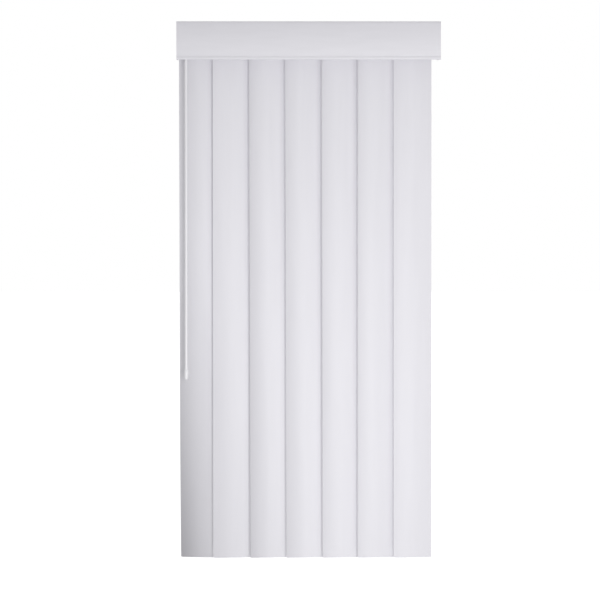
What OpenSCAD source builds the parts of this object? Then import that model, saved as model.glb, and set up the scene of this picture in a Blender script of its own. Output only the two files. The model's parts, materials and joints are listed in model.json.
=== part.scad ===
// Vertical blind with seven curved vanes, a wand control and a boxed valance.
// Lengths are millimetres and angles are degrees.
// X runs along the rail, the wall is the plane y = 0 with the room at -Y, and Z is up.
// The origin is the middle of the four wall screws.

/* [Vanes] */
// Width of a vane from edge to edge
vane_width = 88.2; // [84:0.1:92]
// Length of a vane
vane_length = 1177; // [900:1:2000]
// Thickness of the vane strip
vane_thickness = 0.8; // [0.6:0.1:0.8]
// Rise of a vane's middle over its edges
vane_crown = 2.8; // [2:0.1:2.8]
// Radius of a vane's bottom corners
vane_corner = 3; // [1:0.5:6]
// Width that neighbouring vanes share
vane_overlap = 5.2; // [4.2:0.1:8]
// Extra width that the lead vane and the next one share
lead_overlap = 6; // [3:0.5:9]
// Turn of the closed vanes away from the rail's direction
closed_angle = 9; // [9:0.5:12]

/* [Headrail] */
// Depth of the rail, front to back
rail_width = 44; // [43.5:0.5:48]
// Height of the rail
rail_height = 28; // [27:0.5:32]
// Wall thickness of the rail
rail_wall = 1.4; // [1.2:0.1:1.5]
// Radius of the rail's outer corners
rail_corner = 1.6; // [0.5:0.1:2.5]
// Width of the slot in the rail's underside
slot_width = 15; // [14.5:0.5:16]
// Space between the wand's carrier and the end cap
lead_park = 1; // [1:0.1:7]
// Rail beyond the last vane
last_cover = 7.9; // [-4:0.1:15.9]

/* [Mounting] */
// Space between an open vane and the wall
wall_room = 15.9; // [12:0.1:35]
// Distance from an end of the rail to the middle of a bracket
bracket_inset = 102; // [60:1:130]
// Distance between the two screw holes of a bracket
screw_rise = 22; // [18:1:26]
// Diameter of a wall screw hole
screw_hole = 5; // [4:0.1:6]
// Width of a bracket
bracket_width = 32; // [28:1:40]
// Thickness of the bracket steel
bracket_thickness = 2; // [1.5:0.1:2.5]
// Radius of the bracket's corners
bracket_corner = 4; // [1:0.5:8]

/* [Valance] */
// Height of the valance
valance_height = 87; // [82:1:96]
// Space between the wand's middle and the valance's back
valance_room = 8; // [7.5:0.5:14]
// Space between a valance return and what stands behind it
return_play = 0.4; // [0.4:0.1:5]
// Wall thickness of the valance channel
valance_wall = 1.4; // [1.2:0.1:1.6]
// Height of the lips that hold the insert strip
lip_height = 6; // [4:0.5:8]
// Bow of the insert strip in the valance
insert_crown = 2; // [1:0.1:2]
// Distance from a bracket to the valance clip beside it
clip_offset = 70; // [45:1:140]

/* [Wand] */
// Length of the wand from its pin to the end of the grip
wand_length = 753; // [500:1:900]
// Diameter of the wand rod
wand_diameter = 6.4; // [5.6:0.1:6.8]
// Largest diameter of the grip
grip_diameter = 10.4; // [9:0.1:10.8]
// Length of the grip
grip_length = 22.5; // [18:0.5:34]
// Distance from the lead vane's outer edge to the wand, along the rail
wand_inset = 16.1; // [14.1:0.1:16.6]
// Space between an open vane and the wand's middle
wand_room = 5.9; // [5.4:0.1:8]

/* [Carriers] */
// Length of a carrier along the rail
carrier_length = 19; // [18.5:0.1:19.2]
// Diameter of the grooved tilt rod
rod_diameter = 5; // [4.6:0.1:5]
// Module of the worm gears
gear_module = 0.9; // [0.85:0.01:0.9]
// Thickness of a spacer link
link_thickness = 0.25; // [0.2:0.05:0.25]

/* [Hidden] */
$fn = 64;
large_fn = 256;
vane_count = 7;
gap = 0.3;
slip = 0.02;
cut = 1;

// Vane line, and what stands off from it
vane_half = vane_width / 2;
vane_pitch = vane_width - vane_overlap;
lead_pitch = vane_pitch - lead_overlap;
last_inset = vane_half + last_cover;
wall_gap = vane_half + wall_room;
wand_offset = vane_half - wand_inset;
wand_reach = vane_half + wand_room;
valance_reach = wand_reach + valance_room;
axis_y = -wall_gap;

// Wall bracket and the clip under it
bracket_leg_above = 13;
bracket_leg_below = 11;
bracket_nose = 12;
bracket_slot = 16;
arm_bottom = screw_rise / 2 + bracket_leg_above;
arm_top = arm_bottom + bracket_thickness;
arm_length = wall_gap + bracket_nose;
clip_sheet = 2;
clip_bend = 4;
clip_space = 4;
clip_length = 28;
clip_play = 0.4;
clip_screw_radius = 2;
clip_screw_head_radius = 3.8;
clip_screw_head = 2.4;

// Rail levels
rail_top = arm_bottom - clip_sheet - clip_space;
rail_bottom = rail_top - rail_height;
rail_floor = rail_bottom + rail_wall;
rail_ceiling = rail_top - rail_wall;
rail_half = rail_width / 2;
slot_half = slot_width / 2;
slot_lip = 3;
groove_depth = 1.2;
groove_height = 3;
groove_drop = 7.5;
groove_top = rail_top - groove_drop;
groove_bottom = groove_top - groove_height;
port_radius = 3;
port_hole = 1.5;
port_inset = 6.5;
port_drop = 2.6;
port_y = rail_half - port_inset;
port_z = rail_ceiling - port_drop;

// End caps
cap_thickness = 3.5;
bush_radius = 5.2;
bush_length = 3;
cap_screw_radius = 1.4;
cap_screw_head_radius = 3;
cap_screw_head = 1.8;
cap_screw_length = 14;

// Carrier positions along the rail
housing_half = 8;
lead_inset = wand_offset + housing_half + lead_park + bush_length;
rail_length = lead_inset + lead_pitch + (vane_count - 2) * vane_pitch + last_inset;
rail_left = -rail_length / 2;
rail_right = rail_length / 2;
function carrier_x(k) =
    k == 1 ? rail_left + lead_inset : rail_right - last_inset - (vane_count - k) * vane_pitch;
carrier_half = carrier_length / 2;
bracket_x = rail_right - bracket_inset;
valance_clip_x = bracket_x - clip_offset;

// Carrier levels
glide_play = 0.2;
glide_side = 0.9;
glide_corner = 2;
deck_thickness = 2;
shoe_bottom = rail_floor + glide_play;
deck_bottom = rail_floor + slot_lip + 2 * glide_play;
deck_top = deck_bottom + deck_thickness;
carrier_reach = rail_half - rail_wall - groove_depth - glide_side;
shoe_play = 1;
shoe_inner = slot_half + rail_wall + shoe_play;
neck_play = 0.7;
neck_radius = slot_half - neck_play;
neck_bottom = rail_bottom - 1;

// Worm and pinion
gear_teeth = 10;
addendum = 0.7;
pinion_dedendum = 1.05;
pinion_pitch_radius = gear_module * gear_teeth / 2;
pinion_tip = pinion_pitch_radius + addendum;
pinion_root = pinion_pitch_radius - pinion_dedendum;
pinion_height = 3.6;
worm_dedendum = 0.95;
worm_pitch_radius = 4.5;
worm_tip = worm_pitch_radius + addendum;
worm_root = worm_pitch_radius - worm_dedendum;
worm_lead = PI * gear_module;
worm_turns = 3;
worm_steps = 18;
worm_half = 6.5;
worm_clearance = 0.25;
tooth_half = 0.475;
flank = 20;
journal_radius = 3.4;
journal_cover = 4.3;
wall_end = 2.5;
cradle_wall = 2;
worm_y = pinion_pitch_radius + worm_pitch_radius;
worm_z = deck_top + worm_tip + worm_clearance;
worm_wall_top = worm_z + journal_cover;
rod_radius = rod_diameter / 2;
rod_groove_width = 1.4;
rod_groove_depth = 0.9;
key_depth = 0.85;

// Spacer links in their slot at the front of the carriers
link_wall = -10.6;
link_slot = 3.8;
link_height = 7;
link_drop = 2.25;
link_bottom = worm_z - link_drop;
link_play = 0.5;
link_straight = 5;
link_slope = 0.03;
link_foot = 1.6;
link_tail = 4;
link_reach = vane_pitch + carrier_half + link_tail;
pillar_wall = 2;
pillar_back = link_wall + link_foot + 1;
pillar_front = link_wall - link_slot - pillar_wall;
pillar_top = link_bottom + link_height + pillar_wall;

// Bumper that keeps the lead carrier off the stack
bumper_length = 22;
bumper_height = 6;

// Vane stem
flange_radius = 5.8;
flange_height = 0.9;
hub_radius = 3.3;
stem_radius = 4.4;
stem_drop = 13;
leaf_width = 8;
leaf_thickness = 1;
leaf_gap = 1;
leaf_corner = 3;
leaf_root = rail_bottom - stem_drop;
leaf_back_length = 17;
leaf_front_length = 14;
hook_width = 3.6;
hook_height = 3;
hook_lip = 0.8;
hook_drop = 8;
hook_top = leaf_root - hook_drop;
hole_width = 16;
hole_height = 4.2;
vane_drop = 1;
vane_top = leaf_root - vane_drop;
vane_bottom = vane_top - vane_length;

// Wand carrier, spindle and wand
wand_x = carrier_x(1) - wand_offset;
wand_y = axis_y - wand_reach;
neck_half = 5.5;
arm_clearance = 0.6;
wand_arm_height = 11;
wand_arm_top = rail_bottom - arm_clearance;
wand_arm_bottom = wand_arm_top - wand_arm_height;
wand_arm_half = 5;
boss_radius = 5.8;
spindle_radius = 3;
spindle_depth = 8;
collar_radius = 4.6;
collar_height = 2.2;
cheek_inner = 2.3;
cheek_thickness = 2;
cheek_radius = 3.2;
fork_length = 9.2;
pin_radius = 1.25;
tongue_half = 2;
tongue_radius = 2.9;
tongue_length = 9;
collar_top = wand_arm_bottom - glide_play;
pin_z = collar_top - collar_height - fork_length;
ferrule_top = pin_z - tongue_length;
ferrule_length = 13;
ferrule_radius = 4.6;
ferrule_wall = 2;
ferrule_taper = 5;
ferrule_end = 0.7;
wand_radius = wand_diameter / 2;
wand_bottom = pin_z - wand_length;
grip_radius = grip_diameter / 2;
grip_end = 0.62 * grip_radius;
grip_widest = 0.64 * grip_length;
grip_shoulder = wand_radius + 0.5;

// Valance
valance_rise = 5;
valance_top = arm_top + valance_rise;
valance_bottom = valance_top - valance_height;
valance_back = axis_y - valance_reach;
web_front = valance_back - valance_wall;
insert_slot = 1.6;
lip_wall = 1.2;
insert_play = 0.3;
insert_height = valance_height - 2 * valance_wall - 2 * insert_play;
return_slot = 1.2;
return_thickness = valance_wall + return_slot + lip_wall;
vane_play = 1.2;
rail_end = rail_right + cap_thickness + cap_screw_head;
vane_end = vane_half - carrier_x(1);
return_inner = max(rail_end, vane_end + vane_play) + return_play;
valance_half = return_inner + return_thickness;
return_wall_gap = 2;
rib_wall = 1.2;
rib_reach = 2.8;
rib_lip = 2.8;
rib_inset = 6.8;
rib_spacing = 28.4;
rib_top = valance_top - rib_inset;
rib_bottom = rib_top - rib_spacing;
rib_back = valance_back + rib_reach;
rib_end = return_inner - 2;
leg_thickness = 1.4;
leg_play = 0.2;
leg_back = valance_back + leg_play;
leg_top = rib_top - rib_wall - leg_play;
leg_bottom = rib_bottom + rib_wall + leg_play;
valance_clip_length = 26;
valance_clip_plate = 1.6;
key_leg = 26;
key_bend = 2.8;

// A box between two corners
module span(low, high) {
    translate(low)
        cube(high - low);
}

// A flat shape drawn in Y and Z, drawn out along X
module along_x(from, to) {
    translate([from, 0, 0])
        rotate([90, 0, 90])
            linear_extrude(height = to - from)
                children();
}

// A flat shape drawn in X and Z, drawn out along Y
module along_y(from, to) {
    translate([0, to, 0])
        rotate([90, 0, 0])
            linear_extrude(height = to - from)
                children();
}

// A flat shape drawn in X and Y, drawn out along Z
module along_z(from, to) {
    translate([0, 0, from])
        linear_extrude(height = to - from)
            children();
}

// A round bar along X
module bar_x(radius, from, to) {
    translate([from, 0, 0])
        rotate([0, 90, 0])
            cylinder(r = radius, h = to - from);
}

module rectangle(low, high) {
    translate(low)
        square(high - low);
}

module rounded_rectangle(low, high, radius) {
    rectangle(low + [radius, 0], high - [radius, 0]);
    rectangle(low + [0, radius], high - [0, radius]);
    for (x = [low[0] + radius, high[0] - radius], y = [low[1] + radius, high[1] - radius])
        translate([x, y])
            circle(r = radius);
}

// A strip that hangs down from high, with rounded corners at its low end
module tongue(half, low, high, radius) {
    rectangle([-half, low + radius], [half, high]);
    rectangle([-half + radius, low], [half - radius, low + 2 * radius]);
    for (side = [-1, 1])
        translate([side * (half - radius), low + radius])
            circle(r = radius);
}

// A slot with round ends, centred on the origin
module racetrack(width, height) {
    square([width - height, height], center = true);
    for (side = [-1, 1])
        translate([side * (width - height) / 2, 0])
            circle(r = height / 2);
}

// A quarter of a ring: the bend of a sheet
module sheet_bend(radius, thickness) {
    intersection() {
        difference() {
            circle(r = radius);
            circle(r = radius - thickness);
        }
        square(radius);
    }
}

// Cross-section of a bowed strip, with its crown at the origin facing -Y
module bowed_strip(width, crown, thickness) {
    radius = (width * width / 4 + crown * crown) / (2 * crown);
    intersection() {
        translate([0, radius])
            difference() {
                circle(r = radius, $fn = large_fn);
                circle(r = radius - thickness, $fn = large_fn);
            }
        rectangle([-width / 2, -thickness], [width / 2, crown + 2 * thickness]);
    }
}

// Cross-section of a channel with lips that hold a strip, from its back outwards
module strip_channel(slot) {
    pocket = valance_wall + slot;
    depth = pocket + lip_wall;
    lip_end = lip_height - lip_wall / 2;
    difference() {
        union() {
            rectangle([0, valance_bottom], [pocket, valance_top]);
            rounded_rectangle([0, valance_bottom], [depth, valance_top], lip_wall);
        }
        rectangle([valance_wall, valance_bottom + valance_wall], [pocket, valance_top - valance_wall]);
        rectangle([pocket - slot / 2, valance_bottom + lip_end], [depth + cut, valance_top - lip_end]);
    }
    for (level = [valance_bottom + lip_end, valance_top - lip_end])
        translate([pocket + lip_wall / 2, level])
            circle(r = lip_wall / 2);
}

module rail_outline() {
    rounded_rectangle([-rail_half, rail_bottom], [rail_half, rail_top], rail_corner);
}

module rail_profile() {
    difference() {
        union() {
            difference() {
                rail_outline();
                rectangle([-rail_half + rail_wall, rail_floor], [rail_half - rail_wall, rail_ceiling]);
            }
            for (side = [0, 1])
                mirror([side, 0]) {
                    translate([port_y, port_z])
                        circle(r = port_radius);
                    rectangle([slot_half, rail_bottom], [slot_half + rail_wall, rail_floor + slot_lip]);
                    rectangle(
                        [rail_half - groove_depth - rail_wall, groove_bottom - rail_wall],
                        [rail_half, groove_top + rail_wall]
                    );
                }
        }
        rectangle([-slot_half, rail_bottom - cut], [slot_half, rail_floor + slot_lip + cut]);
        for (side = [0, 1])
            mirror([side, 0]) {
                translate([port_y, port_z])
                    circle(r = port_hole);
                rectangle([rail_half - groove_depth, groove_bottom], [rail_half + cut, groove_top]);
            }
    }
}

module headrail() {
    color("WhiteSmoke")
        translate([0, axis_y, 0])
            along_x(rail_left, rail_right)
                rail_profile();
}

module end_cap(side) {
    color("White")
        translate([side * rail_right, axis_y, 0])
            mirror([side < 0 ? 1 : 0, 0, 0])
                difference() {
                    union() {
                        along_x(0, cap_thickness)
                            rail_outline();
                        translate([0, worm_y, worm_z])
                            bar_x(bush_radius, -bush_length, cap_thickness / 2);
                    }
                    translate([0, worm_y, worm_z])
                        bar_x(rod_radius + gap, -bush_length - cut, cap_thickness / 2);
                    for (end = [-1, 1])
                        translate([0, end * port_y, port_z])
                            bar_x(port_hole, -cut, cap_thickness + cut);
                }
}

module end_cap_screws() {
    color("Silver")
        for (side = [-1, 1], end = [-1, 1])
            translate([side * (rail_right + cap_thickness), axis_y + end * port_y, port_z])
                rotate([0, side * 90, 0]) {
                    cylinder(r = cap_screw_head_radius, h = cap_screw_head);
                    translate([0, 0, -cap_screw_length])
                        cylinder(r = cap_screw_radius, h = cap_screw_length);
                }
}

// A bent steel angle: rounded leg on the wall, bend, and a slotted arm over the rail
module wall_bracket(side) {
    half = bracket_width / 2;
    bend = 2 * bracket_thickness;
    leg_end = -screw_rise / 2 - bracket_leg_below;
    color("Silver")
        translate([side * bracket_x, 0, 0])
            difference() {
                union() {
                    along_y(-bracket_thickness, 0)
                        tongue(half, leg_end, arm_top - bend, bracket_corner);
                    along_z(arm_bottom, arm_top)
                        tongue(half, -arm_length, -bend, bracket_corner);
                    along_x(-half, half)
                        translate([-bend, arm_top - bend])
                            sheet_bend(bend, bracket_thickness);
                }
                for (level = [-1, 1])
                    translate([0, cut, level * screw_rise / 2])
                        rotate([90, 0, 0])
                            cylinder(d = screw_hole, h = bracket_thickness + 2 * cut);
                translate([0, axis_y, 0])
                    along_z(arm_bottom - cut, arm_top + cut)
                        rotate(90)
                            racetrack(bracket_slot, 2 * (clip_screw_radius + slip));
            }
}

// A sheet clip, screwed under a bracket, that hooks into both of the rail's grooves
module rail_clip(side) {
    reach = rail_half + clip_play + clip_sheet;
    color("Gainsboro")
        translate([side * bracket_x, axis_y, 0])
            difference() {
                along_x(-clip_length / 2, clip_length / 2)
                    for (turn = [0, 1])
                        mirror([turn, 0]) {
                            rectangle([-cut, arm_bottom - clip_sheet], [reach - clip_bend, arm_bottom]);
                            translate([reach - clip_bend, arm_bottom - clip_bend])
                                sheet_bend(clip_bend, clip_sheet);
                            rectangle([reach - clip_sheet, groove_bottom], [reach, arm_bottom - clip_bend]);
                            rectangle(
                                [rail_half - groove_depth + clip_play, groove_bottom + clip_play],
                                [reach, groove_top]
                            );
                        }
                translate([0, 0, arm_bottom - clip_sheet - cut])
                    cylinder(r = clip_screw_radius + slip, h = clip_sheet + 2 * cut);
            }
}

module clip_screws() {
    color("Silver")
        for (side = [-1, 1])
            translate([side * bracket_x, axis_y, arm_bottom - clip_sheet]) {
                translate([0, 0, -clip_screw_head])
                    cylinder(r = clip_screw_head_radius, h = clip_screw_head);
                cylinder(r = clip_screw_radius, h = clip_sheet + bracket_thickness);
            }
}

module valance_channel() {
    color("White") {
        along_x(-valance_half, valance_half)
            translate([valance_back, 0])
                mirror([1, 0])
                    strip_channel(insert_slot);
        along_x(-rib_end, rib_end) {
            rectangle([web_front, rib_top - rib_wall], [rib_back, rib_top]);
            rectangle([rib_back - rib_wall, rib_top - rib_lip], [rib_back, rib_top]);
            rectangle([web_front, rib_bottom], [rib_back, rib_bottom + rib_wall]);
            rectangle([rib_back - rib_wall, rib_bottom], [rib_back, rib_bottom + rib_lip]);
        }
    }
}

module valance_insert() {
    crown_y = web_front - insert_crown - vane_thickness - slip;
    color("White")
        along_x(-valance_half, valance_half)
            translate([crown_y, (valance_top + valance_bottom) / 2])
                rotate(-90)
                    bowed_strip(insert_height, insert_crown, vane_thickness);
}

module valance_return(side) {
    color("White")
        mirror([side < 0 ? 1 : 0, 0, 0])
            along_y(valance_back, -return_wall_gap)
                translate([return_inner, 0])
                    strip_channel(return_slot);
}

module return_inserts() {
    strip_low = valance_bottom + valance_wall;
    strip_high = valance_top - valance_wall - insert_play;
    strip_x = return_inner + valance_wall;
    color("White")
        for (side = [0, 1])
            mirror([side, 0, 0])
                along_y(valance_back, -return_wall_gap)
                    rectangle([strip_x, strip_low], [strip_x + vane_thickness, strip_high]);
}

// A bent strip that slides in behind the ribs and holds a return at a right angle
module corner_key(side) {
    color("Gainsboro")
        mirror([side < 0 ? 1 : 0, 0, 0])
            along_z(leg_bottom, leg_top)
                translate([return_inner, leg_back])
                    mirror([0, 1]) {
                        rectangle([-key_leg, -leg_thickness], [-key_bend, 0]);
                        rectangle([-leg_thickness, -key_leg], [0, -key_bend]);
                        translate([-key_bend, -key_bend])
                            sheet_bend(key_bend, leg_thickness);
                    }
}

module valance_clip(side) {
    plate_top = rail_top + valance_clip_plate;
    hook_front = axis_y - rail_half - clip_play;
    color("Gainsboro")
        translate([side * valance_clip_x, 0, 0])
            along_x(-valance_clip_length / 2, valance_clip_length / 2) {
                rounded_rectangle([leg_back, rail_top], [axis_y, plate_top], valance_clip_plate / 2);
                rectangle([leg_back, leg_bottom], [leg_back + leg_thickness, leg_top]);
                rectangle([hook_front - clip_sheet, groove_bottom], [hook_front, plate_top]);
                rectangle(
                    [hook_front - clip_sheet, groove_bottom + clip_play],
                    [hook_front + groove_depth, groove_top]
                );
            }
}

module tilt_rod() {
    color("Silver")
        translate([0, axis_y + worm_y, worm_z])
            along_x(rail_left, rail_right)
                difference() {
                    circle(r = rod_radius);
                    for (turn = [0, 120, 240])
                        rotate(turn)
                            translate([rod_radius, 0])
                                square([2 * rod_groove_depth, rod_groove_width], center = true);
                }
}

// The base that glides on the rail's floor, centred on x = 0
module glide(half) {
    along_z(deck_bottom, deck_top)
        rounded_rectangle([-half, -carrier_reach], [half, carrier_reach], glide_corner);
    for (side = [0, 1])
        mirror([0, side, 0])
            along_z(shoe_bottom, deck_top)
                intersection() {
                    rounded_rectangle([-half, -carrier_reach], [half, carrier_reach], glide_corner);
                    rectangle([-half, shoe_inner], [half, carrier_reach]);
                }
}

// The pillar that the links run through, before its slot is cut
module link_pillar(from, to) {
    span([from, pillar_front, deck_bottom], [to, pillar_back, pillar_top]);
}

module link_passage(from, to) {
    span(
        [from - cut, link_wall - link_slot, link_bottom - link_play],
        [to + cut, link_wall, link_bottom + link_height + link_play]
    );
}

module carrier(k) {
    cradle_low = worm_y - worm_tip - gap;
    cradle_inner = worm_y + worm_tip + gap;
    cradle_high = cradle_inner + cradle_wall;
    journal = journal_radius + gap;
    foot_top = link_bottom + link_height + link_play;
    color("WhiteSmoke")
        translate([carrier_x(k), axis_y, 0])
            difference() {
                union() {
                    glide(carrier_half);
                    translate([0, 0, neck_bottom])
                        cylinder(r = neck_radius, h = deck_top - neck_bottom);
                    link_pillar(-carrier_half, carrier_half);
                    if (k == 1)
                        span(
                            [0, pillar_front, pillar_top - bumper_height],
                            [carrier_half + bumper_length, link_wall - link_slot, pillar_top]
                        );
                    difference() {
                        span(
                            [-carrier_half, cradle_low, deck_bottom],
                            [carrier_half, cradle_high, worm_wall_top]
                        );
                        span(
                            [-carrier_half + wall_end, cradle_low - cut, deck_top],
                            [carrier_half - wall_end, cradle_inner, worm_wall_top + cut]
                        );
                    }
                }
                link_passage(-carrier_half, carrier_half);
                span(
                    [-slip, link_wall - cut, link_bottom - link_play],
                    [link_thickness + slip, link_wall + link_foot + slip, foot_top]
                );
                translate([0, worm_y, worm_z])
                    bar_x(journal, -carrier_half - cut, carrier_half + cut);
                span(
                    [-carrier_half - cut, worm_y - journal + slip, worm_z],
                    [carrier_half + cut, worm_y + journal - slip, worm_wall_top + cut]
                );
                translate([0, 0, neck_bottom - cut])
                    cylinder(r = stem_radius + gap, h = deck_top - neck_bottom + 2 * cut);
            }
}

// One point of the thread: step along the helix, corner of the thread's section
function thread_radius(corner) = corner == 0 || corner == 3 ? worm_root - gap : worm_tip;
function thread_half(corner) = tooth_half + (worm_pitch_radius - thread_radius(corner)) * tan(flank);
function thread_point(step, corner) =
    let (turn = (step / worm_steps - worm_turns / 2) * 360 + 180)
    let (shift = (step / worm_steps - worm_turns / 2) * worm_lead)
    [
        shift + (corner < 2 ? -1 : 1) * thread_half(corner),
        thread_radius(corner) * cos(turn),
        thread_radius(corner) * sin(turn)
    ];

module worm_thread() {
    sections = worm_turns * worm_steps;
    points = [for (step = [0 : sections], corner = [0 : 3]) thread_point(step, corner)];
    sides = [
        for (step = [0 : sections - 1], corner = [0 : 3])
            let (next = (corner + 1) % 4)
            let (a = 4 * step + corner)
            let (b = 4 * step + next)
            each [[a, b, b + 4], [a, b + 4, a + 4]]
    ];
    last = 4 * sections;
    ends = [[3, 2, 1, 0], [last, last + 1, last + 2, last + 3]];
    polyhedron(points = points, faces = concat(sides, ends));
}

module worm(k) {
    color("Ivory")
        translate([carrier_x(k), axis_y + worm_y, worm_z])
            difference() {
                union() {
                    worm_thread();
                    bar_x(worm_root, -worm_half, worm_half);
                    bar_x(journal_radius, -carrier_half, carrier_half);
                }
                along_x(-carrier_length, carrier_length)
                    difference() {
                        circle(r = rod_radius + gap);
                        for (turn = [0, 120, 240])
                            rotate(turn)
                                translate([rod_radius + gap, 0])
                                    square([2 * key_depth, rod_groove_width - 2 * gap], center = true);
                    }
            }
}

module pinion_profile() {
    tip_half = tooth_half - addendum * tan(flank);
    root_half = tooth_half + (pinion_pitch_radius - pinion_root) * tan(flank);
    circle(r = pinion_root);
    for (tooth = [0 : gear_teeth - 1])
        rotate((tooth + 0.5) * 360 / gear_teeth)
            polygon([
                [-root_half, pinion_root - gap],
                [root_half, pinion_root - gap],
                [tip_half, pinion_tip],
                [-tip_half, pinion_tip]
            ]);
}

// Half of the vane clip: a leaf that stands off from the vane's middle, with a rounded end
module stem_leaf(length) {
    along_y(leaf_gap / 2, leaf_gap / 2 + leaf_thickness)
        tongue(leaf_width / 2, leaf_root - length, leaf_root + cut, leaf_corner);
}

module stem(k) {
    hook_tip = slip - leaf_gap / 2;
    hook_base = (leaf_gap + leaf_thickness) / 2;
    color("Ivory")
        translate([carrier_x(k), axis_y, 0]) {
            along_z(worm_z - pinion_height / 2, worm_z + pinion_height / 2)
                pinion_profile();
            translate([0, 0, deck_top])
                cylinder(r = hub_radius, h = worm_z - deck_top);
            translate([0, 0, deck_top])
                cylinder(r = flange_radius, h = flange_height);
            translate([0, 0, leaf_root])
                cylinder(r = stem_radius, h = deck_top - leaf_root);
            rotate(closed_angle) {
                stem_leaf(leaf_back_length);
                mirror([0, 1, 0])
                    stem_leaf(leaf_front_length);
                along_x(-hook_width / 2, hook_width / 2)
                    polygon([
                        [hook_base, hook_top],
                        [hook_tip, hook_top],
                        [hook_tip, hook_top - hook_lip],
                        [hook_base, hook_top - hook_height]
                    ]);
            }
        }
}

module vane(k) {
    color("White")
        translate([carrier_x(k), axis_y, 0])
            rotate(closed_angle)
                difference() {
                    intersection() {
                        translate([0, -vane_thickness / 2, 0])
                            along_z(vane_bottom, vane_top)
                                bowed_strip(vane_width, vane_crown, vane_thickness);
                        along_y(-2 * vane_crown, 4 * vane_crown)
                            tongue(vane_half + slip, vane_bottom, vane_top, vane_corner);
                    }
                    translate([0, 0, hook_top - hole_height / 2])
                        along_y(-leaf_gap, leaf_gap)
                            racetrack(hole_width, hole_height);
                }
}

// A spring-steel strip: its bent foot sits in carrier k and its tail runs through the one before
module link(k) {
    drop = (link_reach - link_straight) * link_slope;
    color("Silver")
        translate([carrier_x(k), axis_y, 0])
            along_z(link_bottom, link_bottom + link_height)
                polygon([
                    [link_thickness, link_wall + link_foot],
                    [link_thickness, link_wall - link_thickness],
                    [-link_straight, link_wall - link_thickness],
                    [-link_reach, link_wall - link_thickness - drop],
                    [-link_reach, link_wall - drop],
                    [-link_straight, link_wall],
                    [0, link_wall],
                    [0, link_wall + link_foot]
                ]);
}

module wand_arm() {
    joint = wand_offset - carrier_half;
    color("White")
        translate([wand_x, axis_y, 0])
            difference() {
                union() {
                    glide(housing_half);
                    along_z(deck_bottom, pillar_top)
                        rounded_rectangle(
                            [-housing_half, pillar_front],
                            [housing_half, carrier_reach - cut],
                            glide_corner
                        );
                    link_pillar(0, joint);
                    span([-neck_half, -neck_radius, wand_arm_bottom], [neck_half, neck_radius, deck_top]);
                    span([-wand_arm_half, -wand_reach, wand_arm_bottom], [wand_arm_half, 0, wand_arm_top]);
                    translate([0, -wand_reach, wand_arm_bottom])
                        cylinder(r = boss_radius, h = wand_arm_height);
                }
                link_passage(-housing_half, joint);
                translate([0, worm_y, worm_z])
                    bar_x(rod_radius + 2 * gap, -housing_half - cut, housing_half + cut);
                translate([0, -wand_reach, wand_arm_bottom - cut])
                    cylinder(r = spindle_radius + gap, h = spindle_depth + cut);
            }
}

module wand_spindle() {
    color("White")
        translate([wand_x, wand_y, 0])
            difference() {
                union() {
                    translate([0, 0, collar_top])
                        cylinder(r = spindle_radius, h = spindle_depth - gap);
                    translate([0, 0, collar_top - collar_height])
                        cylinder(r = collar_radius, h = collar_height);
                    for (side = [0, 1])
                        mirror([0, side, 0])
                            along_y(cheek_inner, cheek_inner + cheek_thickness)
                                tongue(
                                    cheek_radius,
                                    pin_z - cheek_radius,
                                    collar_top - collar_height / 2,
                                    cheek_radius - gap
                                );
                }
                translate([0, -boss_radius, pin_z])
                    rotate([-90, 0, 0])
                        cylinder(r = pin_radius + slip, h = 2 * boss_radius);
            }
}

module wand_pin() {
    reach = cheek_inner + cheek_thickness;
    color("Silver")
        translate([wand_x, wand_y - reach, pin_z])
            rotate([-90, 0, 0])
                cylinder(r = pin_radius, h = 2 * reach);
}

module wand_head() {
    ferrule_bottom = ferrule_top - ferrule_length;
    color("White")
        translate([wand_x, wand_y, 0])
            difference() {
                union() {
                    along_y(-tongue_half, tongue_half) {
                        translate([0, pin_z])
                            circle(r = tongue_radius);
                        rectangle([-tongue_radius + gap, ferrule_top - cut], [tongue_radius - gap, pin_z]);
                    }
                    translate([0, 0, ferrule_bottom])
                        cylinder(r1 = ferrule_radius - ferrule_end, r2 = ferrule_radius, h = ferrule_taper);
                    translate([0, 0, ferrule_bottom + ferrule_taper])
                        cylinder(r = ferrule_radius, h = ferrule_length - ferrule_taper);
                }
                translate([0, -boss_radius, pin_z])
                    rotate([-90, 0, 0])
                        cylinder(r = pin_radius + gap, h = 2 * boss_radius);
                translate([0, 0, ferrule_bottom - cut])
                    cylinder(r = wand_radius + slip, h = ferrule_length + cut - ferrule_wall);
            }
}

module wand_rod() {
    rod_bottom = wand_bottom + grip_length / 2;
    color("White")
        translate([wand_x, wand_y, rod_bottom])
            cylinder(r = wand_radius, h = ferrule_top - ferrule_wall - rod_bottom);
}

// A part of the grip's half outline: an arc through its widest level and another radius
module grip_arc(from, to, end_radius) {
    rise = max(grip_widest - from, to - grip_widest);
    narrowing = grip_radius - end_radius;
    radius = (rise * rise + narrowing * narrowing) / (2 * narrowing);
    intersection() {
        rectangle([0, from], [grip_radius, to]);
        translate([grip_radius - radius, grip_widest])
            circle(r = radius, $fn = large_fn);
    }
}

module wand_grip() {
    color("White")
        translate([wand_x, wand_y, wand_bottom])
            difference() {
                rotate_extrude() {
                    grip_arc(0, grip_widest, grip_end);
                    grip_arc(grip_widest, grip_length, grip_shoulder);
                }
                translate([0, 0, grip_length / 2])
                    cylinder(r = wand_radius + slip, h = grip_length);
            }
}

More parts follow.
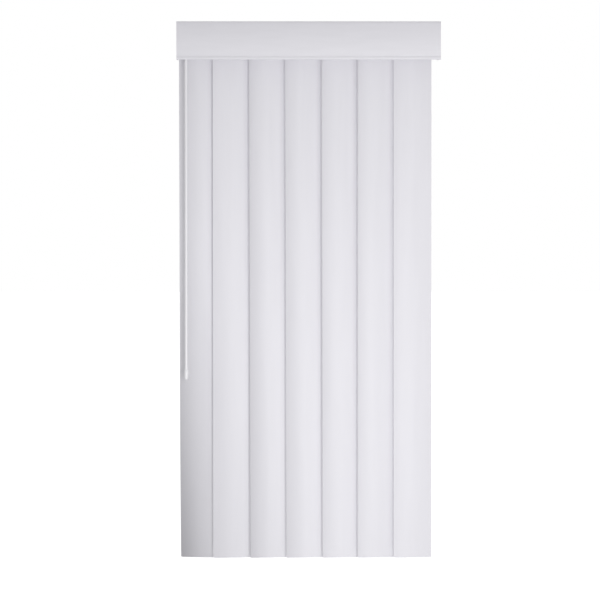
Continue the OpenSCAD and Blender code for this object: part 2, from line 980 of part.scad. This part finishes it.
headrail();
end_cap(-1);  // end_cap_left
end_cap(1);  // end_cap_right
end_cap_screws();
wall_bracket(-1);  // wall_bracket_left
wall_bracket(1);  // wall_bracket_right
rail_clip(-1);  // rail_clip_left
rail_clip(1);  // rail_clip_right
clip_screws();
valance_channel();
valance_insert();
valance_return(-1);  // valance_return_left
valance_return(1);  // valance_return_right
return_inserts();
corner_key(-1);  // corner_key_left
corner_key(1);  // corner_key_right
valance_clip(-1);  // valance_clip_left
valance_clip(1);  // valance_clip_right
tilt_rod();
carrier(1);  // carrier_1
carrier(2);  // carrier_2
carrier(3);  // carrier_3
carrier(4);  // carrier_4
carrier(5);  // carrier_5
carrier(6);  // carrier_6
carrier(7);  // carrier_7
worm(1);  // worm_1
worm(2);  // worm_2
worm(3);  // worm_3
worm(4);  // worm_4
worm(5);  // worm_5
worm(6);  // worm_6
worm(7);  // worm_7
stem(1);  // stem_1
stem(2);  // stem_2
stem(3);  // stem_3
stem(4);  // stem_4
stem(5);  // stem_5
stem(6);  // stem_6
stem(7);  // stem_7
vane(1);  // vane_1
vane(2);  // vane_2
vane(3);  // vane_3
vane(4);  // vane_4
vane(5);  // vane_5
vane(6);  // vane_6
vane(7);  // vane_7
link(2);  // link_2
link(3);  // link_3
link(4);  // link_4
link(5);  // link_5
link(6);  // link_6
link(7);  // link_7
wand_arm();
wand_spindle();
wand_pin();
wand_head();
wand_rod();
wand_grip();
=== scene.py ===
"""Looks of the vertical blind: bowed vanes, wand, headrail and boxed valance in a white studio."""

import json
import math

import bpy
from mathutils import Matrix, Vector


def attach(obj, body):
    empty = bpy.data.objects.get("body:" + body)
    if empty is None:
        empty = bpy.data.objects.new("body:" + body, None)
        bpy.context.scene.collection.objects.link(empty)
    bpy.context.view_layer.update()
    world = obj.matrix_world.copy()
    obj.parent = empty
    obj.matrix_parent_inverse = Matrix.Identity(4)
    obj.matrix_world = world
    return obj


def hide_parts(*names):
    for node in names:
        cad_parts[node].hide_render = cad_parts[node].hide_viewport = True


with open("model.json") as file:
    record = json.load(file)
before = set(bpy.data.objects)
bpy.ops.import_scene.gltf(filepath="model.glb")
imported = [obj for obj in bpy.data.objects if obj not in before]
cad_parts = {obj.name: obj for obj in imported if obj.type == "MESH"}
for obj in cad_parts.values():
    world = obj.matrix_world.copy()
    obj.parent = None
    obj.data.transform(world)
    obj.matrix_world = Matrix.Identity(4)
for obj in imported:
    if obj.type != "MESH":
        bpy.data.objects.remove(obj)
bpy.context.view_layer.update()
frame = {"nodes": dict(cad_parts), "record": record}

MM = 0.001

# The vanes, sized and placed as in the part, in millimetres and degrees.
VANE_COUNT = 7
LEAD_X = -252
ANCHOR_X = 240
VANE_PITCH = 83
AXIS_Y = -60
VANE_WIDTH = 88.2
VANE_CROWN = 2.8
VANE_THICKNESS = 0.8
VANE_TOP = -24
VANE_BOTTOM = -1201
VANE_CORNER = 3
CLOSED_ANGLE = 9
# The punched hole as bands: upper height, lower height, half width.
HOLE_BANDS = [
    (-31, -31.7, 7.0),
    (-31.7, -32.4, 7.75),
    (-32.4, -33.8, 8.0),
    (-33.8, -34.5, 7.75),
    (-34.5, -35.2, 7.0),
]
# Steps of a vane's mesh: round its lower corners, across its middle and sides, and down its length.
CORNER_ANGLES = (0, 20, 40, 55, 68, 80, 90)
FIRST_COLUMN = 3.5
SIDE_COLUMNS = 12
LOWER_ROWS = 60

# How far each vane's lower end hangs to the right.
VANE_LEAN = [2.0, 0.5, 2.5, 2.8, 2.6, 0.5, 1.0]
# Below this share of its length the lead vane winds back: its turn in degrees, its sweep in mm.
WIND_START = 0.35
WIND_TURN = 21
WIND_TURN_POWER = 1.4
WIND_SWEEP = 11
WIND_SWEEP_POWER = 1.5

# Surface directions of the vanes, eased so that the shallow bow shades as a deeper one does.
# How many times further round each vane's near and far half are eased.
NEAR_ROUND = [3.2, 2.0, 4.0, 3.6, 3.5, 3.5, 3.0]
FAR_ROUND = [2.2, 1.2, 1.2, 1.2, 1.2, 1.2, 1.2]
# How far round the last strip of each vane's near edge is eased, in degrees, and its width.
EDGE_ROUND = [0, -10, 9, 0, 23, 21, -10]
EDGE_STRIP = 2.5
# How far each vane is eased to its left at its lower end, in degrees.
LOW_TURN = [0, 20, 17, 11, 4, 0, 0]
LOW_POWER = 1.6
# How far the lead vane is eased to its left, in degrees, and how fast that sets in below its top.
LEAD_TURN = 12
LEAD_RAMP = 15

# The valance channel, the ribs on its back and its strip, sized as in the part.
VALANCE_HALF = 301.5
VALANCE_BACK = -118
VALANCE_LOW = -56
VALANCE_HIGH = 31
VALANCE_WALL = 1.4
LIP_WALL = 1.2
LIP_HEIGHT = 6
LIP_STEP = 15
RIB_HALF = 295.7
RIBS = [
    [(-116.4, 23), (-118.7, 23), (-118.7, 24.2), (-115.2, 24.2), (-115.2, 21.4), (-116.4, 21.4)],
    [(-115.2, -4.2), (-118.7, -4.2), (-118.7, -3), (-116.4, -3), (-116.4, -1.4), (-115.2, -1.4)],
]
STRIP_SLOT = 1.6
STRIP_FRONT = -122.22
STRIP_HEIGHT = 83.6
STRIP_CROWN = 2
STRIP_THICKNESS = 0.8
STRIP_STEPS = 12
# The strip's surface directions are eased this many times further round.
STRIP_ROUND = 2
# Facing of each lip's front in degrees, at its outer and inner end; 0 is the room and 90 is up.
LOW_LIP_FACING = (-20, -14)
HIGH_LIP_FACING = (18, 12)
# How late the facing turns away round a lip's inner end.
LIP_POWER = 2

# Colours that the largest pieces share, and the materials' grain with its depth in metres.
VANE_PVC = (0.80, 0.79, 0.835)
VALANCE_PVC = (0.785, 0.775, 0.82)
GRAIN_DETAIL = 3.0
GRAIN_RANGE = (0.3, 0.7)
GRAIN_DEPTH = 0.0003

# The studio, in metres and watts. Each lamp has a place, an aim, a size and a strength.
LAMPS = {
    "key": ((0.0, -2.2, -0.8), (0.0, -0.06, -0.75), (0.25, 1.0), 11.4),
    "side": ((0.6, -2.15, -1.0), (0.0, -0.06, -0.85), (0.3, 0.8), 9.8),
    "right": ((1.1, -1.1, -0.3), (0.25, -0.1, -0.25), (0.4, 0.8), 1.75),
    "back": ((-0.7, 2.2, -0.2), (0.0, -0.06, -0.6), (1.2, 1.2), 16),
}
WHITE = (1, 1, 1, 1)
SOFT_LIGHT = 0.44
WHITE_LIGHT = 1.0
FLOOR_HEIGHT = -1.9
FLOOR_SIZE = 60
FLOOR_SHADES = ((0.86, 0.86, 0.86, 1), (0.90, 0.90, 0.90, 1))
FLOOR_GRAIN = 4.0
FLOOR_GLOW = 0.75
# A far camera near the valance's height, turned down and right by these degrees.
CAMERA_PLACE = (-0.197, -10.1222, -0.15)
CAMERA_DOWN = 2.6
CAMERA_RIGHT = 1.015
CAMERA_FAR = 200
# Half the picture's width at a distance of one metre.
HALF_VIEW = 0.06843


def material(name, colour, roughness, grain, drift, stretch=(1, 1, 1), bump=0.0, **extra):
    """A principled material whose colour drifts a little over the surface."""
    mat = bpy.data.materials.new(name)
    mat.use_nodes = True
    nodes, links = mat.node_tree.nodes, mat.node_tree.links
    shader = nodes["Principled BSDF"]
    shader.inputs["Roughness"].default_value = roughness
    for key, value in extra.items():
        shader.inputs[key.replace("_", " ")].default_value = value
    coords = nodes.new("ShaderNodeTexCoord")
    mapping = nodes.new("ShaderNodeMapping")
    mapping.inputs["Scale"].default_value = stretch
    noise = nodes.new("ShaderNodeTexNoise")
    noise.inputs["Scale"].default_value = grain
    noise.inputs["Detail"].default_value = GRAIN_DETAIL
    ramp = nodes.new("ShaderNodeValToRGB")
    dark, light = ramp.color_ramp.elements
    dark.position, light.position = GRAIN_RANGE
    dark.color = [part * (1 - drift) for part in colour] + [1]
    light.color = [min(1, part * (1 + drift)) for part in colour] + [1]
    links.new(coords.outputs["Object"], mapping.inputs["Vector"])
    links.new(mapping.outputs["Vector"], noise.inputs["Vector"])
    links.new(noise.outputs["Fac"], ramp.inputs["Fac"])
    links.new(ramp.outputs["Color"], shader.inputs["Base Color"])
    if bump:
        relief = nodes.new("ShaderNodeBump")
        relief.inputs["Strength"].default_value = bump
        relief.inputs["Distance"].default_value = GRAIN_DEPTH
        links.new(noise.outputs["Fac"], relief.inputs["Height"])
        links.new(relief.outputs["Normal"], shader.inputs["Normal"])
    return mat


MATERIALS = {
    "rail": material("rail_paint", (0.78, 0.78, 0.80), roughness=0.38, grain=90, drift=0.012),
    "cap_plastic": material(
        "cap_plastic", (0.78, 0.78, 0.80), roughness=0.42, grain=140, drift=0.015, bump=0.1
    ),
    "zinc_steel": material(
        "zinc_steel", (0.60, 0.61, 0.63), roughness=0.36, grain=160, drift=0.1, Metallic=1.0
    ),
    "screw_steel": material(
        "screw_steel", (0.56, 0.57, 0.59), roughness=0.32, grain=300, drift=0.06, Metallic=1.0
    ),
    "spring_clip": material(
        "spring_clip", (0.74, 0.75, 0.78), roughness=0.35, grain=120, drift=0.02
    ),
    "valance_pvc": material(
        "valance_pvc", VALANCE_PVC, roughness=0.5, grain=40, drift=0.01, stretch=(0.3, 1, 2)
    ),
    "insert_pvc": material(
        "insert_pvc", VALANCE_PVC, roughness=0.5, grain=40, drift=0.012, stretch=(0.3, 1, 2)
    ),
    "clear_plastic": material(
        "clear_plastic",
        (0.80, 0.84, 0.87),
        roughness=0.16,
        grain=60,
        drift=0.02,
        Transmission_Weight=0.75,
    ),
    "rod_aluminium": material(
        "rod_aluminium",
        (0.70, 0.71, 0.73),
        roughness=0.3,
        grain=200,
        drift=0.05,
        stretch=(0.05, 1, 1),
        Metallic=1.0,
    ),
    "carrier_plastic": material(
        "carrier_plastic", (0.76, 0.76, 0.75), roughness=0.45, grain=140, drift=0.02, bump=0.1
    ),
    "gear_plastic": material(
        "gear_plastic", (0.78, 0.75, 0.66), roughness=0.42, grain=160, drift=0.02
    ),
    "vane_pvc": material(
        "vane_pvc", VANE_PVC, roughness=0.5, grain=30, drift=0.01, stretch=(2, 2, 0.15)
    ),
    "link_steel": material(
        "link_steel",
        (0.58, 0.59, 0.61),
        roughness=0.3,
        grain=220,
        drift=0.05,
        stretch=(0.1, 1, 1),
        Metallic=1.0,
    ),
    "wand_plastic": material(
        "wand_plastic",
        (0.87, 0.865, 0.895),
        roughness=0.4,
        grain=60,
        drift=0.015,
        stretch=(1, 1, 0.1),
    ),
    "pin_steel": material(
        "pin_steel", (0.56, 0.57, 0.59), roughness=0.3, grain=300, drift=0.05, Metallic=1.0
    ),
}


def show(name, verts, faces, normals, slot, body, node):
    """A piece that stands for a CAD node, with its own surface directions."""
    mesh = bpy.data.meshes.new(name)
    mesh.from_pydata(verts, [], faces)
    mesh.polygons.foreach_set("use_smooth", [True] * len(mesh.polygons))
    mesh.normals_split_custom_set(normals)
    mesh.materials.append(MATERIALS[slot])
    piece = bpy.data.objects.new(name, mesh)
    bpy.context.scene.collection.objects.link(piece)
    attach(piece, body)
    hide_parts(node)


def vane_x(number):
    """Place of a vane along the rail; the lead one hangs closer to its neighbour than the rest."""
    return LEAD_X if number == 1 else ANCHOR_X - VANE_PITCH * (VANE_COUNT - number)


def columns():
    """Places across a vane: close together at the rounded corners, and on the hole's sides."""
    half = VANE_WIDTH / 2
    corner = [half - VANE_CORNER * (1 - math.sin(math.radians(a))) for a in CORNER_ANGLES]
    inner = [FIRST_COLUMN] + [band[2] for band in HOLE_BANDS[:3]]
    width = corner[0] - inner[-1]
    outer = [inner[-1] + width * i / SIDE_COLUMNS for i in range(1, SIDE_COLUMNS)]
    side = inner + outer + corner
    return [-spot for spot in reversed(side)] + [0.0] + side


def rows():
    """Heights down a vane, the hole's edges among them."""
    hole = [HOLE_BANDS[0][0]] + [band[1] for band in HOLE_BANDS]
    length = hole[-1] - VANE_BOTTOM
    lower = [hole[-1] - length * (i / LOWER_ROWS) for i in range(1, LOWER_ROWS + 1)]
    return [VANE_TOP] + hole + lower


def corner_rise(spot):
    """How far the rounded lower corner lifts a vane's lower edge at a place across it."""
    over = abs(spot) - (VANE_WIDTH / 2 - VANE_CORNER)
    return 0 if over <= 0 else VANE_CORNER - math.sqrt(max(0, VANE_CORNER**2 - over**2))


def in_hole(high, low, left, right):
    """Whether the cell between two heights and two places across lies in the punched hole."""
    reach = max(abs(left), abs(right))
    return any(high == top and low == end and reach <= half for top, end, half in HOLE_BANDS)


def cells(spots, heights):
    """Quads of a vane's grid, one for each cell that isn't in the hole."""
    wide = len(spots)
    quads = []
    for row in range(len(heights) - 1):
        for column in range(wide - 1):
            if not in_hole(heights[row], heights[row + 1], spots[column], spots[column + 1]):
                corner = row * wide + column
                quads.append((corner, corner + wide, corner + wide + 1, corner + 1))
    return quads


def open_edges(quads):
    """Edges that only one quad has, which are the rim and the hole's side."""
    edges = {}
    for quad in quads:
        for edge in zip(quad, quad[1:] + quad[:1]):
            if edge[::-1] in edges:
                del edges[edge[::-1]]
            else:
                edges[edge] = True
    return list(edges)


def hang(number, share):
    """Turn in degrees, then shift back and sideways in millimetres, at a share of the way down."""
    closed = math.radians(CLOSED_ANGLE)
    lean = VANE_LEAN[number - 1] * share
    low = max(0.0, (share - WIND_START) / (1 - WIND_START)) if number == 1 else 0.0
    back = lean * math.sin(closed) + WIND_SWEEP * low**WIND_SWEEP_POWER
    return -WIND_TURN * low**WIND_TURN_POWER, back, lean * math.cos(closed)


def easing(number, share, spot, turn):
    """How far a vane's surface direction is eased at a place on it, in degrees."""
    edge = max(0.0, 1 - (spot + VANE_WIDTH / 2) / EDGE_STRIP)
    eased = turn - EDGE_ROUND[number - 1] * edge - LOW_TURN[number - 1] * share**LOW_POWER
    if number == 1:
        eased -= LEAD_TURN * min(1, share * LEAD_RAMP)
    return eased


def vane_sides(number, spots, heights):
    """Front and back of a vane over its grid, and the way that its front faces at each place."""
    radius = (VANE_WIDTH**2 / 4 + VANE_CROWN**2) / (2 * VANE_CROWN)
    x = vane_x(number)
    front, back, ways = [], [], []
    for height in heights:
        share = (VANE_TOP - height) / (VANE_TOP - VANE_BOTTOM)
        turn, back_off, side_off = hang(number, share)
        angle = math.radians(CLOSED_ANGLE + turn)
        for spot in spots:
            z = max(height, VANE_BOTTOM + corner_rise(spot))
            slope = math.asin(spot / radius)
            for inset, side in ((0, front), (VANE_THICKNESS, back)):
                across = (radius - inset) * math.sin(slope)
                deep = radius - (radius - inset) * math.cos(slope) - VANE_THICKNESS / 2
                right = across * math.cos(angle) - deep * math.sin(angle) + side_off
                behind = across * math.sin(angle) + deep * math.cos(angle) + back_off
                side.append(((x + right) * MM, (AXIS_Y + behind) * MM, z * MM))
            further = (NEAR_ROUND if spot < 0 else FAR_ROUND)[number - 1]
            tilt = angle + math.radians(easing(number, share, spot, turn)) + slope * further
            ways.append((math.sin(tilt), -math.cos(tilt), 0.0))
    return front, back, ways


def vane(number):
    """A bowed vane; the lead one winds away from the room towards its lower end."""
    spots, heights = columns(), rows()
    front, back, ways = vane_sides(number, spots, heights)
    quads = cells(spots, heights)
    verts = front + back
    faces = quads + [tuple(i + len(front) for i in reversed(quad)) for quad in quads]
    normals = [ways[i] for quad in quads for i in quad]
    normals += [tuple(-part for part in ways[i]) for quad in quads for i in reversed(quad)]
    for first, second in open_edges(quads):
        base = len(verts)
        verts += [front[second], front[first], back[first], back[second]]
        start, end, behind = (Vector(corner) for corner in verts[base : base + 3])
        out = (end - start).cross(behind - start).normalized()
        faces.append((base, base + 1, base + 2, base + 3))
        normals += [tuple(out)] * 4
    name = f"vane_{number}_strip"
    show(name, verts, faces, normals, "vane_pvc", f"hanger_{number}", f"vane_{number}")


def sharp(points):
    """Corners of an outline with flat faces between them."""
    outline = []
    for (y, z), (next_y, next_z) in zip(points, points[1:] + points[:1]):
        facing = math.degrees(math.atan2(next_y - y, next_z - z))
        outline += [(y, z, facing), (next_y, next_z, facing)]
    return outline


def lip(edge, side, facing):
    """Outline of a channel's lip from the back to the pocket; side is 1 for the lower lip."""
    pocket = VALANCE_WALL + STRIP_SLOT
    half = LIP_WALL / 2
    outer, inner = facing
    down = -90 * side
    path = [(0, 0, down), (pocket, 0, down)]
    for degrees in range(-90, 1, LIP_STEP):
        turn = math.radians(degrees)
        deep, rise = LIP_WALL * math.cos(turn), LIP_WALL * math.sin(turn)
        way = down + (outer - down) * (degrees + 90) / 90
        path.append((pocket + deep, LIP_WALL + rise, way))
    for degrees in range(0, 181, LIP_STEP):
        turn = math.radians(degrees)
        deep, rise = half * math.cos(turn), half * math.sin(turn)
        way = inner + (180 * side - inner) * (degrees / 180) ** LIP_POWER
        path.append((pocket + half + deep, LIP_HEIGHT - half + rise, way))
    path += [(pocket, VALANCE_WALL, 180), (pocket, VALANCE_WALL, -down)]
    path += [(VALANCE_WALL, VALANCE_WALL, -down), (VALANCE_WALL, VALANCE_WALL, 0)]
    return [(VALANCE_BACK - deep, edge + side * rise, way) for deep, rise, way in path]


def valance_channel():
    """Outline of the channel: its two lips and the back between them."""
    low = lip(VALANCE_LOW, 1, LOW_LIP_FACING)
    high = lip(VALANCE_HIGH, -1, HIGH_LIP_FACING)
    back = [(VALANCE_BACK, VALANCE_HIGH, 180), (VALANCE_BACK, VALANCE_LOW, 180)]
    return low + high[::-1] + back


def valance_strip():
    """Outline of the bowed strip between the lips."""
    radius = (STRIP_HEIGHT**2 / 4 + STRIP_CROWN**2) / (2 * STRIP_CROWN)
    reach = math.asin(STRIP_HEIGHT / 2 / radius)
    middle = (VALANCE_LOW + VALANCE_HIGH) / 2
    front, back = [], []
    for i in range(-STRIP_STEPS, STRIP_STEPS + 1):
        turn = reach * i / STRIP_STEPS
        eased = STRIP_ROUND * math.degrees(turn)
        for inset, way, side in ((0, eased, front), (STRIP_THICKNESS, 180, back)):
            y = STRIP_FRONT + radius - (radius - inset) * math.cos(turn)
            side.append((y, middle + (radius - inset) * math.sin(turn), way))
    top = [corner[:2] + (90,) for corner in (front[-1], back[-1])]
    bottom = [corner[:2] + (-90,) for corner in (back[0], front[0])]
    return front + top + back[::-1] + bottom


def bars(name, outlines, slot, node):
    """A piece made of bars along X, each an outline of (y, z, facing) corners and a half length."""
    verts, faces, normals = [], [], []
    for outline, half in outlines:
        befores = outline[-1:] + outline
        corners = [c[:2] for c, before in zip(outline, befores) if c[:2] != before[:2]]
        for end in (-half, half):
            ring = [len(verts) + i for i in range(len(corners))]
            verts += [(end * MM, y * MM, z * MM) for y, z in corners]
            faces.append(tuple(ring if end < 0 else reversed(ring)))
            normals += [(math.copysign(1, end), 0, 0)] * len(ring)
        for first, second in zip(outline, outline[1:] + outline[:1]):
            if first[:2] != second[:2]:
                base = len(verts)
                for y, z, facing in (first, second):
                    verts += [(-half * MM, y * MM, z * MM), (half * MM, y * MM, z * MM)]
                    turn = math.radians(facing)
                    normals += [(0, -math.cos(turn), math.sin(turn))] * 2
                faces.append((base, base + 1, base + 3, base + 2))
    show(name, verts, faces, normals, slot, "frame", node)


def area_light(name, place, aim, size, watts):
    """A rectangular lamp that the camera doesn't see, turned towards its aim."""
    data = bpy.data.lights.new(name, "AREA")
    data.shape = "RECTANGLE"
    data.size, data.size_y = size
    data.energy = watts
    lamp = bpy.data.objects.new(name, data)
    bpy.context.scene.collection.objects.link(lamp)
    lamp.location = place
    lamp.visible_camera = False
    way = [a - b for a, b in zip(aim, place)]
    flat = math.hypot(way[0], way[1])
    lamp.rotation_euler = (math.atan2(flat, -way[2]), 0, math.atan2(-way[0], way[1]))
    return lamp


def studio_world():
    """Soft light all round, with white where the camera, gloss and clear plastic look past."""
    world = bpy.data.worlds.new("studio")
    world.use_nodes = True
    nodes, links = world.node_tree.nodes, world.node_tree.links
    nodes.clear()
    out = nodes.new("ShaderNodeOutputWorld")
    mix = nodes.new("ShaderNodeMixShader")
    soft = nodes.new("ShaderNodeBackground")
    soft.inputs["Color"].default_value = WHITE
    soft.inputs["Strength"].default_value = SOFT_LIGHT
    white = nodes.new("ShaderNodeBackground")
    white.inputs["Color"].default_value = WHITE
    white.inputs["Strength"].default_value = WHITE_LIGHT
    path = nodes.new("ShaderNodeLightPath")
    seen = nodes.new("ShaderNodeMath")
    seen.operation = "MAXIMUM"
    clear = nodes.new("ShaderNodeMath")
    clear.operation = "MAXIMUM"
    links.new(path.outputs["Is Camera Ray"], seen.inputs[0])
    links.new(path.outputs["Is Glossy Ray"], seen.inputs[1])
    links.new(seen.outputs["Value"], clear.inputs[0])
    links.new(path.outputs["Is Transmission Ray"], clear.inputs[1])
    links.new(clear.outputs["Value"], mix.inputs["Fac"])
    links.new(soft.outputs["Background"], mix.inputs[1])
    links.new(white.outputs["Background"], mix.inputs[2])
    links.new(mix.outputs["Shader"], out.inputs["Surface"])
    return world


def floor_material():
    """Pale floor that reads as white where it is lit and keeps the shadow."""
    mat = bpy.data.materials.new("floor_paper")
    mat.use_nodes = True
    nodes, links = mat.node_tree.nodes, mat.node_tree.links
    nodes.clear()
    out = nodes.new("ShaderNodeOutputMaterial")
    add = nodes.new("ShaderNodeAddShader")
    paper = nodes.new("ShaderNodeBsdfDiffuse")
    noise = nodes.new("ShaderNodeTexNoise")
    noise.inputs["Scale"].default_value = FLOOR_GRAIN
    ramp = nodes.new("ShaderNodeValToRGB")
    dark, light = ramp.color_ramp.elements
    dark.color, light.color = FLOOR_SHADES
    glow = nodes.new("ShaderNodeEmission")
    path = nodes.new("ShaderNodeLightPath")
    level = nodes.new("ShaderNodeMath")
    level.operation = "MULTIPLY"
    level.inputs[1].default_value = FLOOR_GLOW
    links.new(noise.outputs["Fac"], ramp.inputs["Fac"])
    links.new(ramp.outputs["Color"], paper.inputs["Color"])
    links.new(path.outputs["Is Camera Ray"], level.inputs[0])
    links.new(level.outputs["Value"], glow.inputs["Strength"])
    links.new(paper.outputs["BSDF"], add.inputs[0])
    links.new(glow.outputs["Emission"], add.inputs[1])
    links.new(add.outputs["Shader"], out.inputs["Surface"])
    return mat


for part in frame["record"]["subparts"]:
    cad = frame["nodes"][part["node"]]
    cad.data.materials.clear()
    cad.data.materials.append(MATERIALS[part["material_slot"]])

for vane_number in range(1, VANE_COUNT + 1):
    vane(vane_number)
channel = [(valance_channel(), VALANCE_HALF)] + [(sharp(rib), RIB_HALF) for rib in RIBS]
bars("valance_channel_bar", channel, "valance_pvc", "valance_channel")
bars("valance_insert_strip", [(valance_strip(), VALANCE_HALF)], "insert_pvc", "valance_insert")

lamps = {name: area_light(name, *setting) for name, setting in LAMPS.items()}
# The lamp behind isn't mirrored, because it would bleach the steel brackets.
lamps["back"].visible_glossy = False
bpy.context.scene.world = studio_world()

bpy.ops.mesh.primitive_plane_add(size=FLOOR_SIZE, location=(0, 0, FLOOR_HEIGHT))
floor = bpy.context.object
floor.name = "floor"
floor.data.materials.append(floor_material())

camera_data = bpy.data.cameras.new("camera")
camera_data.angle = 2 * math.atan(HALF_VIEW)
camera_data.clip_end = CAMERA_FAR
camera = bpy.data.objects.new("camera", camera_data)
bpy.context.scene.collection.objects.link(camera)
camera.location = CAMERA_PLACE
camera.rotation_euler = (math.radians(90 - CAMERA_DOWN), 0, math.radians(-CAMERA_RIGHT))
bpy.context.scene.camera = camera
bpy.context.scene.view_settings.view_transform = "Standard"
